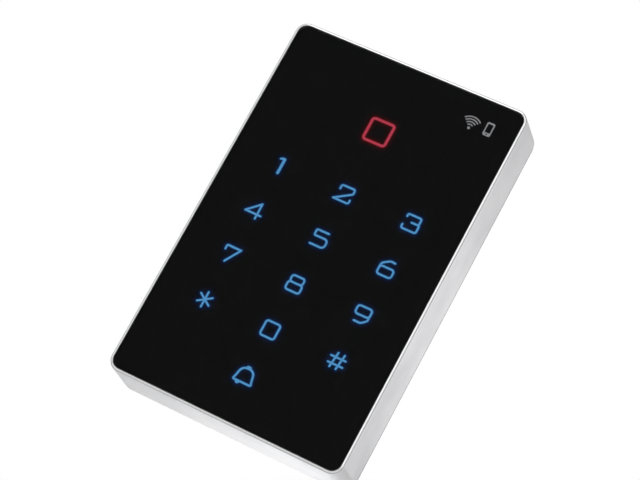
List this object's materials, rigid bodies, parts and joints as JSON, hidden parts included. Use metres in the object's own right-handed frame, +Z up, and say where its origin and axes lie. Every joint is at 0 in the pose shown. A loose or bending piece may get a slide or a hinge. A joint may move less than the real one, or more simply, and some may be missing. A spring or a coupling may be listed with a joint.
{
  "type": "keypad access reader",
  "caption": "Wall-mounted access reader: metal-framed black glass touch keypad with lit symbols, square status light, radio card coil and a hook-on wall bracket with a lock screw.",
  "frame": {"origin": "middle of the wall bracket's screw-hole line, in the wall plane", "axes": "+Z up as the reader hangs, +X to the right seen from the front, -Y out of the glass towards the user, +Y into the wall"},
  "size_m": [0.083, 0.0218, 0.1284],
  "materials": {
    "satin_aluminium": "fine bead-blasted satin, bright cut lip",
    "tempered_glass": "clear polished, 1.1 mm",
    "black_print": "opaque black back-printing",
    "grey_ink": "grey screen-printing ink",
    "blue_lit_diffuser": "blue back-lit light diffuser",
    "red_lit_diffuser": "red back-lit light diffuser",
    "adhesive_foam": "black double-sided adhesive",
    "green_board": "solder-masked glass-fibre board",
    "gold_copper": "gold-plated copper",
    "white_moulding": "white moulded plastic",
    "enamel_copper": "enamelled copper winding",
    "black_connector": "black moulded plastic",
    "led_package": "white package with clear window",
    "zinc_steel": "bright zinc-plated steel",
    "black_steel": "black oxide steel",
    "chip_epoxy": "matte black epoxy",
    "blue_board": "blue solder-masked board",
    "tinned_can": "tinned steel can",
    "relay_case": "blue moulded case",
    "ferrite_grey": "dark grey ferrite",
    "capacitor_can": "aluminium can",
    "tamper_red": "red moulded acetal",
    "spring_steel": "spring steel wire",
    "black_abs": "fine spark-eroded black ABS",
    "black_gasket": "closed-cell rubber",
    "label_white": "blank matte label",
    "lock_brass": "turned brass",
    "stainless": "turned stainless steel"
  },
  "bodies": {
    "bracket": {"wall_bracket": "zinc_steel"},
    "housing": {"front_frame": "satin_aluminium", "glass_panel": "tempered_glass", "mask_film": "black_print", "status_icon_ink": "grey_ink", "panel_gasket": "adhesive_foam", "key_diffuser": "blue_lit_diffuser", "indicator_diffuser": "red_lit_diffuser", "touch_board": "green_board", "touch_electrodes": "gold_copper", "light_baffle": "white_moulding", "indicator_light_pipe": "white_moulding", "antenna_coil": "enamel_copper", "board_link": "black_connector", "key_leds": "led_package", "indicator_led": "led_package", "main_board": "green_board", "board_screws": "zinc_steel", "controller_chip": "chip_epoxy", "touch_chip": "chip_epoxy", "wireless_module": "blue_board", "module_shield": "tinned_can", "relay": "relay_case", "buzzer": "black_connector", "power_inductor": "ferrite_grey", "power_capacitor": "capacitor_can", "cable_header": "white_moulding", "header_pins": "gold_copper", "tamper_switch": "black_connector", "tamper_spring": "spring_steel", "rear_gasket": "black_gasket", "rear_cover": "black_abs", "blank_label": "label_white", "cover_screws": "black_steel", "lock_insert": "lock_brass"},
    "plunger": {"tamper_plunger": "tamper_red"},
    "lock_carrier": {"lock_washer": "stainless"},
    "lock_screw_body": {"lock_screw": "stainless"}
  },
  "joints": [
    {"name": "unit_tilt", "type": "hinge", "parent": "bracket", "child": "housing", "pos_m": [0, 0, -0.06395], "axis": [1, 0, 0], "range_deg": [0, 8]},
    {"name": "tamper_press", "type": "slide", "parent": "housing", "child": "plunger", "axis": [0, 1, 0], "range_m": [-0.0018, 0], "stiffness_N_per_m": 400, "springref_m": 0.0006, "deforming": ["tamper_spring"]},
    {"name": "lock_screw_travel", "type": "slide", "parent": "housing", "child": "lock_carrier", "axis": [0, 0, 1], "range_m": [-0.0026, 0]},
    {"name": "lock_screw_turn", "type": "hinge", "parent": "lock_carrier", "child": "lock_screw_body", "pos_m": [0, -0.009, 0.0617], "axis": [0, 0, 1], "range_deg": [-1872, 0]}
  ],
  "couplings": [
    {"joint": "lock_screw_turn", "follows": "lock_screw_travel", "rad_per_m": 12566}
  ]
}
